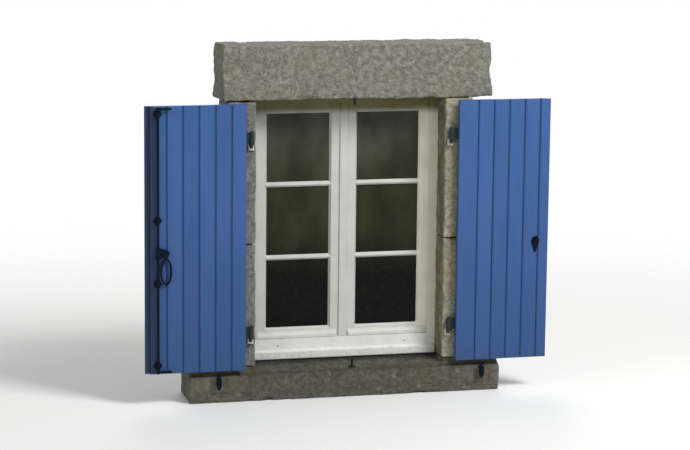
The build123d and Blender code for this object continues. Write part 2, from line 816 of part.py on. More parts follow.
# Window frame sill, with a rounded nose between the jambs and two drain holes
with BuildPart() as frame_sill:
    with BuildSketch(Plane.YZ.offset(-frame_outer)):
        with BuildLine():
            Polyline(
                (reveal_depth, bed),
                (frame_back, bed),
                (frame_back, groove_foot),
                (sash_front, groove_foot),
                (sash_front, sill_sight),
                (reveal_depth, sill_sight),
                close=True,
            )
        make_face()
    extrude(amount=2 * frame_outer)
    with BuildSketch(Plane.YZ.offset(frame_play - half_opening)) as nose:
        with BuildLine():
            Polyline(
                (reveal_depth, bed),
                (reveal_depth, bed + nose_height),
                (reveal_depth - nose_reach, bed + nose_height - nose_top_fall),
                (reveal_depth - nose_reach, bed),
                close=True,
            )
        make_face()
        fillet(nose.vertices().group_by(Axis.Y)[0].sort_by(Axis.Z)[-1], nose_radius)
    extrude(amount=2 * (half_opening - frame_play))
    with BuildSketch(Plane.XZ.offset(-reveal_depth)):
        with Locations(*[(place, bed + drain_height) for place in drain_places]):
            Circle(drain_radius)
    extrude(amount=-drain_depth, mode=Mode.SUBTRACT)
frame_sill.part.label = "frame_sill"
export_step(frame_sill.part, "parts/frame_sill.step")

# Cutting shapes for the panes: sight openings, putty bevels outside and grooves for the glass
glazing_cuts = {}
for side, side_name in sides:
    middles = [(side * pane_middle, centre) for centre in pane_centres]
    with BuildPart() as glazing:
        with BuildSketch(Plane.XZ.offset(-sash_front)):
            with Locations(*middles):
                Rectangle(pane_width + 2 * putty_slope, pane_height + 2 * putty_slope)
        extrude(amount=-glass_seat, taper=putty_angle)
        with BuildSketch(Plane.XZ.offset(-sash_front)):
            with Locations(*middles):
                Rectangle(pane_width, pane_height)
        extrude(amount=-sash_thickness)
        with BuildSketch(Plane.XZ.offset(-glass_y)):
            with Locations(*middles):
                Rectangle(pane_width + 2 * glazing_groove, pane_height + 2 * glazing_groove)
        extrude(amount=-glass_thickness)
        with BuildSketch(Plane.XZ.offset(-sash_back)):
            with Locations(*middles):
                Rectangle(pane_width + 2 * room_bevel, pane_height + 2 * room_bevel)
        extrude(amount=room_bevel, taper=45)
    glazing_cuts[side_name] = glazing.part

# Sash stiles; the left meeting stile also has the lap that closes the joint on the room side
for side, side_name in sides:
    with BuildPart() as hinge_stile:
        with BuildSketch(Plane.XZ.offset(-sash_front)):
            with Locations((side * (glass_outer + sash_edge) / 2, sash_middle)):
                Rectangle(sash_edge - glass_outer, sash_tall)
        extrude(amount=-sash_thickness)
        add(glazing_cuts[side_name], mode=Mode.SUBTRACT)
    hinge_stile.part.label = f"{side_name}_sash_hinge_stile"
    export_step(hinge_stile.part, f"parts/{hinge_stile.part.label}.step")

    with BuildPart() as meeting_stile:
        with BuildSketch(Plane.XZ.offset(-sash_front)):
            with Locations((side * (glass_inner + meeting_gap) / 2, sash_middle)):
                Rectangle(glass_inner - meeting_gap, sash_tall)
        extrude(amount=-sash_thickness)
        add(glazing_cuts[side_name], mode=Mode.SUBTRACT)
        if side_name == "left":
            with BuildSketch(Plane.XZ.offset(-sash_back)):
                with Locations((lap_middle, sash_middle)):
                    Rectangle(lap_inner + lap_outer, sash_tall)
            extrude(amount=-lap_thickness)
    meeting_stile.part.label = f"{side_name}_sash_meeting_stile"
    export_step(meeting_stile.part, f"parts/{meeting_stile.part.label}.step")

# Sash rails; the bottom rail carries the weather moulding that throws rain off the frame
for side, side_name in sides:
    with BuildPart() as top_rail:
        with BuildSketch(Plane.XZ.offset(-sash_front)):
            with Locations((side * pane_middle, (glass_high + sash_top) / 2)):
                Rectangle(pane_width, sash_top - glass_high)
        extrude(amount=-sash_thickness)
        add(glazing_cuts[side_name], mode=Mode.SUBTRACT)
    top_rail.part.label = f"{side_name}_sash_top_rail"
    export_step(top_rail.part, f"parts/{top_rail.part.label}.step")

    with BuildPart() as bottom_rail:
        with BuildSketch(Plane.XZ.offset(-sash_front)):
            with Locations((side * pane_middle, (glass_low + sash_bottom) / 2)):
                Rectangle(pane_width, glass_low - sash_bottom)
        extrude(amount=-sash_thickness)
        add(glazing_cuts[side_name], mode=Mode.SUBTRACT)
        with BuildSketch(Plane.YZ.offset(side * (cover_width / 2 + weather_end_gap))):
            with BuildLine():
                Polyline(
                    (sash_front, sill_sight + weather_rise),
                    (sash_front, sill_sight + weather_clearance),
                    (sash_front - weather_reach, sill_sight + weather_clearance),
                    (sash_front - weather_reach, sill_sight + weather_clearance + weather_lip),
                )
                ThreePointArc(
                    (sash_front - weather_reach, sill_sight + weather_clearance + weather_lip),
                    (sash_front - weather_reach / 3, sill_sight + weather_hollow * weather_rise),
                    (sash_front, sill_sight + weather_rise),
                )
            make_face()
        extrude(amount=side * (frame_sight - sash_play - cover_width / 2 - weather_end_gap))
    bottom_rail.part.label = f"{side_name}_sash_bottom_rail"
    export_step(bottom_rail.part, f"parts/{bottom_rail.part.label}.step")

# Glazing bars and panes
for side, side_name in sides:
    with BuildPart() as bars:
        with BuildSketch(Plane.XZ.offset(-sash_front)):
            with Locations(*[(side * pane_middle, centre) for centre in bar_centres]):
                Rectangle(pane_width, bar_width)
        extrude(amount=-sash_thickness)
        add(glazing_cuts[side_name], mode=Mode.SUBTRACT)
    bars.part.label = f"{side_name}_sash_bars"
    export_step(bars.part, f"parts/{bars.part.label}.step")

    with BuildPart() as panes:
        with BuildSketch(Plane.XZ.offset(-glass_y)):
            with Locations(*[(side * pane_middle, centre) for centre in pane_centres]):
                Rectangle(pane_width + 2 * pane_bite, pane_height + 2 * pane_bite)
        extrude(amount=-glass_thickness)
    panes.part.label = f"{side_name}_sash_panes"
    export_step(panes.part, f"parts/{panes.part.label}.step")

# Cover strip over the joint, fixed to the right sash and just clear of the left one
with BuildPart() as cover:
    with BuildSketch(Plane.XY.offset(sill_sight + weather_clearance)) as strip:
        with BuildLine():
            Polyline(
                (-cover_width / 2, sash_front - cover_play),
                (-cover_width / 2, sash_front - cover_thickness),
                (cover_width / 2, sash_front - cover_thickness),
                (cover_width / 2, sash_front),
                (meeting_gap, sash_front),
                (meeting_gap, sash_front - cover_play),
                close=True,
            )
        make_face()
        fillet(strip.vertices().group_by(Axis.Y)[0], cover_round)
    extrude(amount=head_sight - sill_sight - 2 * weather_clearance)
cover.part.label = "cover_strip"
export_step(cover.part, "parts/cover_strip.step")

# Sash hinges: lower halves with their pins on the frame, upper halves on the sashes
with BuildPart() as frame_hinges:
    for side, side_name in sides:
        for foot in sash_hinge_feet:
            with BuildSketch(Plane.XY.offset(foot)):
                with Locations((side * hinge_x, hinge_y)):
                    Circle(knuckle_radius)
                with Locations((side * (hinge_x + hinge_plate_middle), frame_back + hinge_plate / 2)):
                    Rectangle(hinge_plate_width, hinge_plate)
            extrude(amount=knuckle_height)
            with BuildSketch(Plane.XY.offset(foot + knuckle_height)):
                with Locations((side * hinge_x, hinge_y)):
                    Circle(hinge_pin_radius)
            extrude(amount=knuckle_height)
frame_hinges.part.label = "frame_hinges"
export_step(frame_hinges.part, "parts/frame_hinges.step")

for side, side_name in sides:
    with BuildPart() as sash_hinges:
        for foot in sash_hinge_feet:
            with BuildSketch(Plane.XY.offset(foot + knuckle_height + knuckle_play)):
                with Locations((side * hinge_x, hinge_y)):
                    Circle(knuckle_radius)
                with Locations((side * (hinge_x - hinge_plate_middle), sash_back + hinge_plate / 2)):
                    Rectangle(hinge_plate_width, hinge_plate)
                with Locations((side * hinge_x, hinge_y)):
                    Circle(hinge_pin_radius + running_play, mode=Mode.SUBTRACT)
            extrude(amount=knuckle_height)
    sash_hinges.part.label = f"{side_name}_sash_hinges"
    export_step(sash_hinges.part, f"parts/{sash_hinges.part.label}.step")

# Cremone bolt case, with a socket for each rod and a bore for the knob
with BuildPart() as case:
    with BuildSketch(Plane.XZ.offset(-lap_face)):
        with Locations((lap_middle, case_z)):
            RectangleRounded(cremone_case_width, cremone_case_height, cremone_case_round)
    extrude(amount=-cremone_case_depth)
    fillet(case.faces().sort_by(Axis.Y)[-1].edges(), cremone_case_edge)
    with BuildSketch(Plane.XY.offset(case_z + cremone_case_height / 2)):
        with Locations((lap_middle, rod_y)):
            Circle(cremone_rod_radius + running_play)
    extrude(amount=-cremone_socket - seat_play, mode=Mode.SUBTRACT)
    with BuildSketch(Plane.XY.offset(case_z - cremone_case_height / 2)):
        with Locations((lap_middle, rod_y)):
            Circle(cremone_rod_radius + running_play)
    extrude(amount=cremone_socket + seat_play, mode=Mode.SUBTRACT)
    with BuildSketch(Plane.XZ.offset(-lap_face - cremone_case_depth)):
        with Locations((lap_middle, case_z)):
            Circle(knob_spindle_radius + running_play)
    extrude(amount=knob_spindle - knob_stand + seat_play, mode=Mode.SUBTRACT)
case.part.label = "cremone_case"
export_step(case.part, "parts/cremone_case.step")

# Cremone knob, an oval grip on a round spindle
with BuildPart() as knob:
    with BuildSketch(Plane.XZ.offset(-lap_face - cremone_case_depth - knob_stand)):
        with Locations((lap_middle, case_z)):
            SlotOverall(knob_length, knob_width)
    extrude(amount=-knob_depth)
    fillet(knob.faces().filter_by(Axis.Y).edges(), knob_round)
    with BuildSketch(Plane.XZ.offset(-lap_face - cremone_case_depth - knob_stand)):
        with Locations((lap_middle, case_z)):
            Circle(knob_spindle_radius)
    extrude(amount=knob_spindle)
knob.part.label = "cremone_knob"
export_step(knob.part, "parts/cremone_knob.step")

# Cremone rods, drawn back from the keeps
for rod_name, rod_foot, rod_head in cremone_rods:
    with BuildPart() as cremone_rod:
        with BuildSketch(Plane.XY.offset(rod_foot)):
            with Locations((lap_middle, rod_y)):
                Circle(cremone_rod_radius)
        extrude(amount=rod_head - rod_foot)
    cremone_rod.part.label = f"cremone_{rod_name}_rod"
    export_step(cremone_rod.part, f"parts/{cremone_rod.part.label}.step")

# Guides that hold the cremone rods to the lap
with BuildPart() as rod_guides:
    for rod_name, rod_foot, rod_head in cremone_rods:
        for step in rod_guide_steps:
            centre = rod_foot + step * (rod_head - rod_foot)
            with BuildSketch(Plane.XY.offset(centre - rod_guide_height / 2)):
                with Locations((lap_middle, (lap_face + rod_y) / 2)):
                    Rectangle(rod_guide_width, rod_y - lap_face)
                with Locations((lap_middle, rod_y)):
                    Circle(cremone_rod_stand)
                    Circle(cremone_rod_radius + running_play, mode=Mode.SUBTRACT)
            extrude(amount=rod_guide_height)
rod_guides.part.label = "cremone_guides"
export_step(rod_guides.part, "parts/cremone_guides.step")

# Keeps on the window frame: square hoops that the cremone rods shoot into
with BuildPart() as keeps:
    for foot in keep_feet:
        with BuildSketch(Plane.XY.offset(foot)):
            with Locations((lap_middle, (frame_back + keep_front) / 2)):
                Rectangle(keep_width, keep_front - frame_back)
            with Locations((lap_middle, rod_y)):
                Rectangle(keep_hole, keep_hole, mode=Mode.SUBTRACT)
        extrude(amount=keep_height)
keeps.part.label = "cremone_keeps"
export_step(keeps.part, "parts/cremone_keeps.step")
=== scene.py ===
import bpy
import bmesh
import math
import random
from mathutils import Matrix, Vector, noise


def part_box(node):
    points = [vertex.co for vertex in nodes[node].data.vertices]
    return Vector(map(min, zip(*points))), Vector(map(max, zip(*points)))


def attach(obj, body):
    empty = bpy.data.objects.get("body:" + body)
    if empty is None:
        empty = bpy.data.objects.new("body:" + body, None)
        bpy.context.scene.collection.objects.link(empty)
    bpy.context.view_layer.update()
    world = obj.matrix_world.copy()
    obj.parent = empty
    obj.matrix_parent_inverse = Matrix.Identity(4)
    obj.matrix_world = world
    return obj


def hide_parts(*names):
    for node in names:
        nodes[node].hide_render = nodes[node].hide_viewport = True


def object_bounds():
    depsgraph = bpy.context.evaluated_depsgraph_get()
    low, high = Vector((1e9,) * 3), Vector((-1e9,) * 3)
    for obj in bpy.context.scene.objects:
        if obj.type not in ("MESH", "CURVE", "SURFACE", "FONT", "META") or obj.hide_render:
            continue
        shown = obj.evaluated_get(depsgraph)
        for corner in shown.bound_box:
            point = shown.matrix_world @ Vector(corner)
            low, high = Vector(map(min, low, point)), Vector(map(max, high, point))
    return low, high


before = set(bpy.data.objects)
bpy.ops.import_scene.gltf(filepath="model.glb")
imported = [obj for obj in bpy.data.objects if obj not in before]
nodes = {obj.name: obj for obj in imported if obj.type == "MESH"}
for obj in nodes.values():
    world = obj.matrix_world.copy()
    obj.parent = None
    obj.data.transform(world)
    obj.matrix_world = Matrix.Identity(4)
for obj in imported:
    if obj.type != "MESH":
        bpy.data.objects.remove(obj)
cad_box = [list(corner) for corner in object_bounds()]

# Dressed stones round the opening: a sill, a lintel and four jamb stones of grey granite.
# They were squared with hammer and point, so their faces are pitted, and rain and frost have
# rounded their arrises. The sill is mossy and limed, with painted shadow under the frame's nose,
# and painted shadow darkens the stone round both keepers. The reveals are dirty and carry
# painted shade, the right one most.
voxel = 0.006
softening_rounds = 5
arris_width = 0.040
sill_wear = 0.0055
lintel_wear = 0.0085
jamb_wear = 0.0050
sill_end_wear = 0.010
lintel_end_wear = 0.034
sill_tone = (0.137, 0.134, 0.109)
lintel_tone = (0.296, 0.288, 0.246)
left_jamb_tone = (0.268, 0.272, 0.258)
# The right jamb is warmer than the left, and lighter still as painted light against the shutter's
# shadow on it.
right_jamb_lit_tone = (0.445, 0.425, 0.315)
moss_tone = (0.046, 0.054, 0.028)
lichen_tone = (0.40, 0.40, 0.34)
reveal_dirt_and_shade = (0.132, 0.110, 0.054)
lime_smear = (0.250, 0.222, 0.165)
iron_stain_and_shadow = (0.016, 0.014, 0.012)
sill_fall = 0.036
keeper_bed = 0.030
reveal_start = (0.004, 0.040)
reveal_end = (0.170, 0.210)
jamb_outer_side = (0.520, 0.550)
opening_side = (0.495, 0.510)
sill_back = (0.200, 0.215)


class Value:
    """An output of a shader node that takes part in ordinary expressions."""

    def __init__(self, tree, socket):
        self.tree = tree
        self.socket = socket

    def node(self, kind, settings=None, sockets=None, output=None):
        """Add a node of any type: its settings first, then its sockets' values or links."""
        made = self.tree.nodes.new("ShaderNode" + kind)
        for name, setting in (settings or {}).items():
            setattr(made, name, setting)
        for name, value in (sockets or {}).items():
            socket = next(s for s in made.inputs if name in (s.identifier, s.name) and s.enabled)
            if isinstance(value, Value):
                self.tree.links.new(value.socket, socket)
            else:
                socket.default_value = value
        if output is None:
            return Value(self.tree, made.outputs[0])
        return Value(self.tree, next(s for s in made.outputs if output in (s.identifier, s.name)))

    def math(self, operation, first, second):
        return self.node("Math", {"operation": operation}, {"Value": first, "Value_001": second})

    def __add__(self, other):
        return self.math("ADD", self, other)

    def __radd__(self, other):
        return self.math("ADD", other, self)

    def __sub__(self, other):
        return self.math("SUBTRACT", self, other)

    def __rsub__(self, other):
        return self.math("SUBTRACT", other, self)

    def __mul__(self, other):
        return self.math("MULTIPLY", self, other)

    def __rmul__(self, other):
        return self.math("MULTIPLY", other, self)

    def magnitude(self):
        """The value without its sign."""
        return self.node("Math", {"operation": "ABSOLUTE"}, {"Value": self})

    def step(self, low, high):
        """0 below low, 1 above high and smooth between them."""
        return self.node("MapRange", {"interpolation_type": "SMOOTHSTEP"},
                         {"Value": self, "From Min": low, "From Max": high})

    def mix(self, first, second):
        """Colour first where this value is 0, second where it is 1."""
        colours = [c if isinstance(c, Value) else (*c, 1) for c in (first, second)]
        return self.node("Mix", {"data_type": "RGBA"},
                         {"Factor_Float": self, "A_Color": colours[0], "B_Color": colours[1]},
                         "Result_Color")

    def axis(self, name):
        return self.node("SeparateXYZ", sockets={"Vector": self}, output=name)

    def stretched(self, x, y, z):
        factors = {"Vector": self, "Vector_001": (x, y, z)}
        return self.node("VectorMath", {"operation": "MULTIPLY"}, factors)

    def noise(self, scale, detail=3, roughness=0.55):
        """Soft noise from 0 to 1; scale is in waves per metre."""
        wanted = {"Vector": self, "Scale": scale, "Detail": detail, "Roughness": roughness}
        return self.node("TexNoise", sockets=wanted)

    def cells(self, scale, feature="F1"):
        return self.node("TexVoronoi", {"feature": feature}, {"Vector": self, "Scale": scale})

    def bump(self, depth):
        """A normal from this height, depth in metres."""
        return self.node("Bump", sockets={"Height": self, "Distance": depth, "Strength": 1.0})


def start_material(name):
    """An empty material and the place on the surface, in metres at rest."""
    material = bpy.data.materials.new(name)
    material.use_nodes = True
    tree = material.node_tree
    return Value(tree, tree.nodes.new("ShaderNodeTexCoord").outputs["Object"])


def finish_material(name, colour, roughness, normal=None, metallic=0.0, specular=0.5):
    """A Principled material; colour, roughness and normal may vary over the surface."""
    material = bpy.data.materials[name]
    shader = material.node_tree.nodes["Principled BSDF"]
    for socket, value in (("Base Color", colour), ("Roughness", roughness), ("Normal", normal)):
        if isinstance(value, Value):
            material.node_tree.links.new(value.socket, shader.inputs[socket])
        elif value is not None:
            shader.inputs[socket].default_value = (*value, 1) if socket == "Base Color" else value
    shader.inputs["Metallic"].default_value = metallic
    shader.inputs["Specular IOR Level"].default_value = specular
    return material


def shade(tone, factor):
    """The tone made darker or lighter."""
    return tuple(min(1, c * factor) for c in tone)


def tint(tone, red, green, blue):
    """The tone with a factor for each channel."""
    return tuple(c * f for c, f in zip(tone, (red, green, blue)))


def granite(name, tone, lichen, iron=None, moss=None, reveal=0.0, smears=None, arris=None,
            nose_shadow=None):
    """Grey granite with specks, grains and stains. The rest is what lies on one stone or another:
    lichen, moss above a height, dirt and painted shade in the reveal, lime at the ends with cracks,
    a dark line along an arris, painted shadow in front of the frame, and a dark stain with painted
    shadow where iron is let in."""
    place = start_material(name)
    mottle = place.noise(36, 3, 0.6).step(0.34, 0.66)
    grit = place.noise(120, 3, 0.6).step(0.38, 0.62)
    specks = (1 - place.cells(70).step(0.16, 0.34)) * place.noise(52, 2).step(0.42, 0.55)
    crystals = (1 - place.cells(88).step(0.14, 0.30)) * place.noise(44, 2).step(0.46, 0.58)
    blotch = place.noise(11, 5, 0.65).step(0.35, 0.68)
    stain = place.noise(4.2, 4, 0.6).step(0.48, 0.72)
    colour = mottle.mix(shade(tone, 0.60), shade(tone, 1.22))
    colour = (grit * 0.45).mix(colour, shade(tone, 0.62))
    colour = (specks * 0.80).mix(colour, shade(tone, 0.30))
    colour = (crystals * 0.80).mix(colour, shade(tone, 2.0))
    colour = (blotch * 0.40).mix(colour, tint(tone, 0.66, 0.65, 0.58))
    colour = (stain * 0.35).mix(colour, tint(tone, 1.02, 0.88, 0.58))
    across = place.axis("X").magnitude()
    inwards = place.axis("Y")
    if moss:
        growth = place.noise(24, 6, 0.7).step(0.44, 0.62) * place.axis("Z").step(*moss)
        colour = (growth * 0.40).mix(colour, moss_tone)
    spots = (1 - place.cells(15).step(0.15, 0.24)) * place.noise(5, 3).step(0.46, 0.56)
    spots = spots * place.noise(110, 3).step(0.35, 0.6)
    colour = (spots * lichen).mix(colour, lichen_tone)
    # Dirt and painted shade in the reveal.
    if reveal:
        inside = inwards.step(*reveal_start) * (1 - inwards.step(*reveal_end))
        inside = inside * (1 - across.step(*jamb_outer_side))
        inside = inside * place.noise(14, 5, 0.65).step(0.25, 0.6)
        colour = (inside * reveal).mix(colour, reveal_dirt_and_shade)
    if smears:
        wiped = across.step(*smears) * place.noise(10, 5, 0.65).step(0.32, 0.62)
        cracks = 1 - place.stretched(0.35, 1, 1.6).noise(17, 5, 0.7).step(0.34, 0.44)
        colour = (wiped * 0.42).mix(colour, lime_smear)
        colour = (cracks * 0.55).mix(colour, shade(tone, 0.30))
    # A dark line along the arris.
    if arris:
        from_arris = (place.axis("Z") - arris).magnitude()
        arris_darkening = (1 - from_arris.step(0.002, 0.009)) * place.noise(26, 4, 0.6).step(0.32, 0.55)
        colour = (arris_darkening * 0.65).mix(colour, shade(tone, 0.38))
    # Painted shadow on the sill under the frame's nose.
    if nose_shadow:
        nose_shade = inwards.step(*nose_shadow) * (1 - inwards.step(*sill_back))
        nose_shade = nose_shade * (1 - across.step(*opening_side)) * place.noise(22, 4, 0.6).step(0.15, 0.5)
        colour = (nose_shade * 0.85).mix(colour, shade(tone, 0.16))
    # A dark iron stain with painted shadow round the keeper.
    if iron:
        ends = {"Vector": place, "Vector_001": iron}
        away = place.node("VectorMath", {"operation": "DISTANCE"}, ends, "Value")
        stained_and_shaded = 1 - (away + place.noise(60, 3) * 0.012).step(0.018, 0.034)
        colour = (stained_and_shaded * 0.88).mix(colour, iron_stain_and_shadow)
    pits = place.noise(85, 5, 0.8) + place.noise(30, 4, 0.6) * 1.2
    return finish_material(name, colour, 0.93, pits.bump(0.010), specular=0.2)


def worn_stone(node_name, name, body, wear, end_wear=0.0):
    """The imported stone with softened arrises, pitted faces and rough ends, inside its block."""
    source = nodes[node_name]
    stone = bpy.data.objects.new(name, source.data.copy())
    bpy.context.scene.collection.objects.link(stone)
    remesh = stone.modifiers.new("voxels", "REMESH")
    remesh.mode = "VOXEL"
    remesh.voxel_size = voxel
    soften = stone.modifiers.new("softened arrises", "SMOOTH")
    soften.iterations = softening_rounds
    soften.factor = 0.5
    stone.data = bpy.data.meshes.new_from_object(
        stone.evaluated_get(bpy.context.evaluated_depsgraph_get()))
    stone.modifiers.clear()
    stone.data.materials.clear()
    low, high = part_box(node_name)
    middle = (low[0] + high[0]) / 2
    end_reach = 6 * end_wear
    moved = []
    for spot, normal in [(vertex.co.copy(), vertex.normal.copy()) for vertex in stone.data.vertices]:
        tooling = noise.noise(spot * 8) * 0.55 + noise.noise(spot * 27) * 0.45
        tooling += noise.noise(spot * 70) * 0.35
        chips = max(0.0, noise.noise(spot * 15 + Vector((5, 3, 1))) - 0.18) * 2.4
        to_faces = sorted(min(spot[i] - low[i], high[i] - spot[i]) for i in range(3))
        at_arris = max(0.0, 1 - to_faces[1] / arris_width)
        depth = wear * (0.40 + 0.75 * tooling + chips * at_arris * 1.8)
        spot = spot - normal * max(0.0, depth)
        to_end = min(spot[0] - low[0], high[0] - spot[0])
        if end_wear and to_end < end_reach:
            corner = max(0.0, (spot[2] - high[2]) / (high[2] - low[2]) + 0.35) * 1.6
            rough = noise.noise(Vector((spot[0] - middle, spot[1] * 3, spot[2] * 6)))
            hewn = max(0.0, 0.35 + corner + 0.8 * rough)
            inward = end_wear * hewn * (1 - to_end / end_reach)
            spot[0] += inward if spot[0] < middle else -inward
        moved.extend(spot)
    stone.data.vertices.foreach_set("co", moved)
    stone.data.polygons.foreach_set("use_smooth", [True] * len(stone.data.polygons))
    stone.data.update()
    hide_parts(node_name)
    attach(stone, body)
    return stone


keepers_low, keepers_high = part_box("bolt_keepers")
keeper_x = (keepers_low[0] + keepers_high[0]) / 2
keeper_y = (keepers_low[1] + keepers_high[1]) / 2
lower_keeper = (keeper_x, keeper_y, keepers_low[2] + keeper_bed)
upper_keeper = (keeper_x, keeper_y, keepers_high[2] - keeper_bed)
sill_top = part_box("sill_stone")[1][2]
frame_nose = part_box("frame_sill")[0][1]
sill = worn_stone("sill_stone", "worn_sill", "masonry", sill_wear, sill_end_wear)
sill_granite = granite("sill granite", sill_tone, lichen=0.45, iron=lower_keeper,
                       moss=(sill_top - 0.10, sill_top - 0.02), smears=(0.50, 0.78),
                       arris=sill_top - sill_fall, nose_shadow=(frame_nose - 0.060, frame_nose - 0.012))
sill.data.materials.append(sill_granite)
lintel = worn_stone("lintel_stone", "worn_lintel", "masonry", lintel_wear, lintel_end_wear)
lintel_granite = granite("lintel granite", lintel_tone, lichen=0.7, iron=upper_keeper)
lintel.data.materials.append(lintel_granite)
for side, tone, reveal in (("left", left_jamb_tone, 0.3), ("right", right_jamb_lit_tone, 0.75)):
    jamb_granite = granite(f"{side} jamb granite", tone, lichen=0.3, reveal=reveal)
    for course in ("lower", "upper"):
        jamb = worn_stone(f"jamb_stone_{side}_{course}", f"worn_jamb_{side}_{course}", "masonry",
                          jamb_wear)
        jamb.data.materials.append(jamb_granite)

# Lime mortar round the pintle tails, and the forged pintles that the leaves hang on.
# The mortar is pale, sandy and a little dirty. The pintles are let into the jambs and carry
# dark green-black paint, worn in spots to brown iron.
dark_sand = (0.60, 0.53, 0.43)
pale_sand = (0.84, 0.77, 0.66)
mortar_dirt = (0.24, 0.21, 0.16)
pintle_paint = (0.020, 0.031, 0.029)
brown_iron = (0.075, 0.042, 0.024)


def dress(node_name, material):
    """Give a carried-over CAD node its material."""
    mesh = nodes[node_name].data
    mesh.materials.clear()
    mesh.materials.append(material)


place = start_material("lime mortar")
sand = place.noise(420, 2)
mortar_colour = sand.step(0.35, 0.65).mix(dark_sand, pale_sand)
dirt = place.noise(40, 4).step(0.5, 0.75)
mortar_colour = (dirt * 0.4).mix(mortar_colour, mortar_dirt)
grain = (sand + place.noise(90, 3)).bump(0.003)
dress("pintle_mortar", finish_material("lime mortar", mortar_colour, 0.95, grain))


def painted_iron(name, paint, under, wear, gloss=0.22):
    """Forged iron under brushed paint: hammer marks, a little gloss, and spots worn through."""
    place = start_material(name)
    hammer = place.cells(70, "SMOOTH_F1")
    brush = place.stretched(1, 1, 0.2).noise(260, 3)
    worn = place.noise(55, 5, 0.7).step(0.62 - wear, 0.70 - wear)
    colour = brush.step(0.3, 0.7).mix(shade(paint, 0.8), shade(paint, 1.3))
    colour = (worn * 0.8).mix(colour, under)
    roughness = 0.50 + worn * 0.30 + brush * 0.08
    marks = (hammer + brush * 0.25).bump(0.0012)
    return finish_material(name, colour, roughness, marks, specular=gloss)


dress("pintles", painted_iron("pintle paint", pintle_paint, brown_iron, wear=0.06, gloss=0.15))

# Shutter leaves: six tongued and grooved softwood boards each, painted blue on both sides.
# The paint was brushed on along the grain, and each board has taken the weather a little
# differently. Painted shade darkens the vees between the boards, the leaf towards its foot, and
# the set-back lip on the left leaf.
board_blue = (0.0445, 0.1150, 0.3110)
lip_shade_blue = (0.0200, 0.0360, 0.0850)
vee_shade = (0.018, 0.036, 0.095)
splash_grime = (0.040, 0.060, 0.085)
vee_width = (0.001, 0.013)
widest_joint = 0.012
lip_board = "left_board_6"
lip_across = (-1.050, -1.018)
lip_face = (-0.034, -0.029)
leaf_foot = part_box("left_board_1")[0][2]
eased_arris = 0.0012
eased_above = math.radians(35)
tones = random.Random(7)


def board_paint(name, tone, joints, with_lip):
    """Satin blue paint with brush lines and grain along the board, and painted shade in its vees."""
    place = start_material(name)
    height = place.axis("Z")
    along = place.stretched(1, 1, 0.03)
    grain = along.noise(130, 4, 0.6)
    brush = along.noise(430, 2)
    clouds = place.stretched(1, 1, 0.35).noise(6, 4, 0.6)
    blue = shade(board_blue, tone)
    colour = clouds.step(0.3, 0.7).mix(tint(blue, 0.82, 0.93, 0.93), tint(blue, 1.20, 1.05, 1.05))
    colour = (grain.step(0.45, 0.72) * 0.20).mix(colour, shade(blue, 0.66))
    colour = (brush.step(0.5, 0.8) * 0.12).mix(colour, shade(blue, 1.3))
    grime_and_shade = 0.0
    # Painted shade beside each vee between the boards.
    for joint in joints:
        from_joint = (place.axis("X") - joint).magnitude()
        grime_and_shade = grime_and_shade + (1 - from_joint.step(*vee_width))
    colour = (grime_and_shade * (0.42 + clouds * 0.4)).mix(colour, vee_shade)
    shaded_foot = (1 - height.step(leaf_foot - 0.1, leaf_foot + 1.1)) * (0.25 + clouds * 0.5)
    colour = shaded_foot.mix(colour, shade(blue, 0.50))
    # Painted shade on the lip's set-back inner face and edge.
    if with_lip:
        inner_side = 1 - place.axis("Y").step(*lip_face)
        outer_edge = 1 - place.axis("X").step(*lip_across)
        colour = (outer_edge * inner_side).mix(colour, lip_shade_blue)
    splash = 1 - height.step(leaf_foot, leaf_foot + 0.12)
    splash = splash * place.noise(26, 5, 0.65).step(0.4, 0.7)
    colour = (splash * 0.35).mix(colour, splash_grime)
    relief = (grain * 0.8 + brush * 0.3).bump(0.0012)
    return finish_material(name, colour, 0.50 + grain * 0.14, relief, specular=0.25)


for side in ("left", "right"):
    boards = [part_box(f"{side}_board_{number}") for number in range(1, 7)]
    spans = [(low[0], high[0]) for low, high in boards]
    for number, span in enumerate(spans, start=1):
        board_name = f"{side}_board_{number}"
        others = [edge for other in spans if other != span for edge in other]
        joints = [edge for edge in span if min(abs(edge - x) for x in others) < widest_joint]
        paint_name = f"{side} board {number} paint"
        paint = board_paint(paint_name, tones.uniform(0.93, 1.07), joints, board_name == lip_board)
        dress(board_name, paint)
        arris = nodes[board_name].modifiers.new("eased arrises", "BEVEL")
        arris.width = eased_arris
        arris.segments = 2
        arris.limit_method = "ANGLE"
        arris.angle_limit = eased_above

# Tie rods: two plain steel rods through the boards of each leaf, which hold them together.
# They lie in bores inside the boards and don't show, so they keep their mill scale unpainted.
scale_dark = (0.30, 0.29, 0.28)
scale_light = (0.48, 0.47, 0.46)
place = start_material("tie rod steel")
scale_marks = place.noise(160, 3)
rod_steel = finish_material("tie rod steel", scale_marks.mix(scale_dark, scale_light),
                            0.35 + scale_marks * 0.2, scale_marks.bump(0.0003), metallic=1.0)
for side in ("left", "right"):
    dress(f"{side}_tie_rods", rod_steel)

# Straps: forged iron bands on the outer face of the leaves, with an eye for the pintle.
# They are screwed to the boards, and straps and screws are painted much as the pintles are.
strap_paint = (0.022, 0.033, 0.031)
strap_rust = (0.075, 0.042, 0.026)
strap_iron = painted_iron("strap paint", strap_paint, strap_rust, wear=0.03, gloss=0.15)
for side in ("left", "right"):
    dress(f"{side}_straps", strap_iron)
    dress(f"{side}_strap_screws", strap_iron)

# Shutter bolt, guides, handle, catch, keepers and dogs: forged iron in near-black paint.
# The rod turns in guides on the left leaf, the catch is on the right leaf, the keepers and the
# spikes of the dogs are let into the stones.
black_paint = (0.0016, 0.0050, 0.0130)
worn_black = (0.009, 0.010, 0.012)
iron_black = painted_iron("black ironwork", black_paint, worn_black, wear=0.0, gloss=0.09)
for name in ("bolt_rod", "bolt_guides", "bolt_handle", "shutter_catch", "bolt_keepers", "left_dog",
             "right_dog", "dog_spikes"):
    dress(name, iron_black)

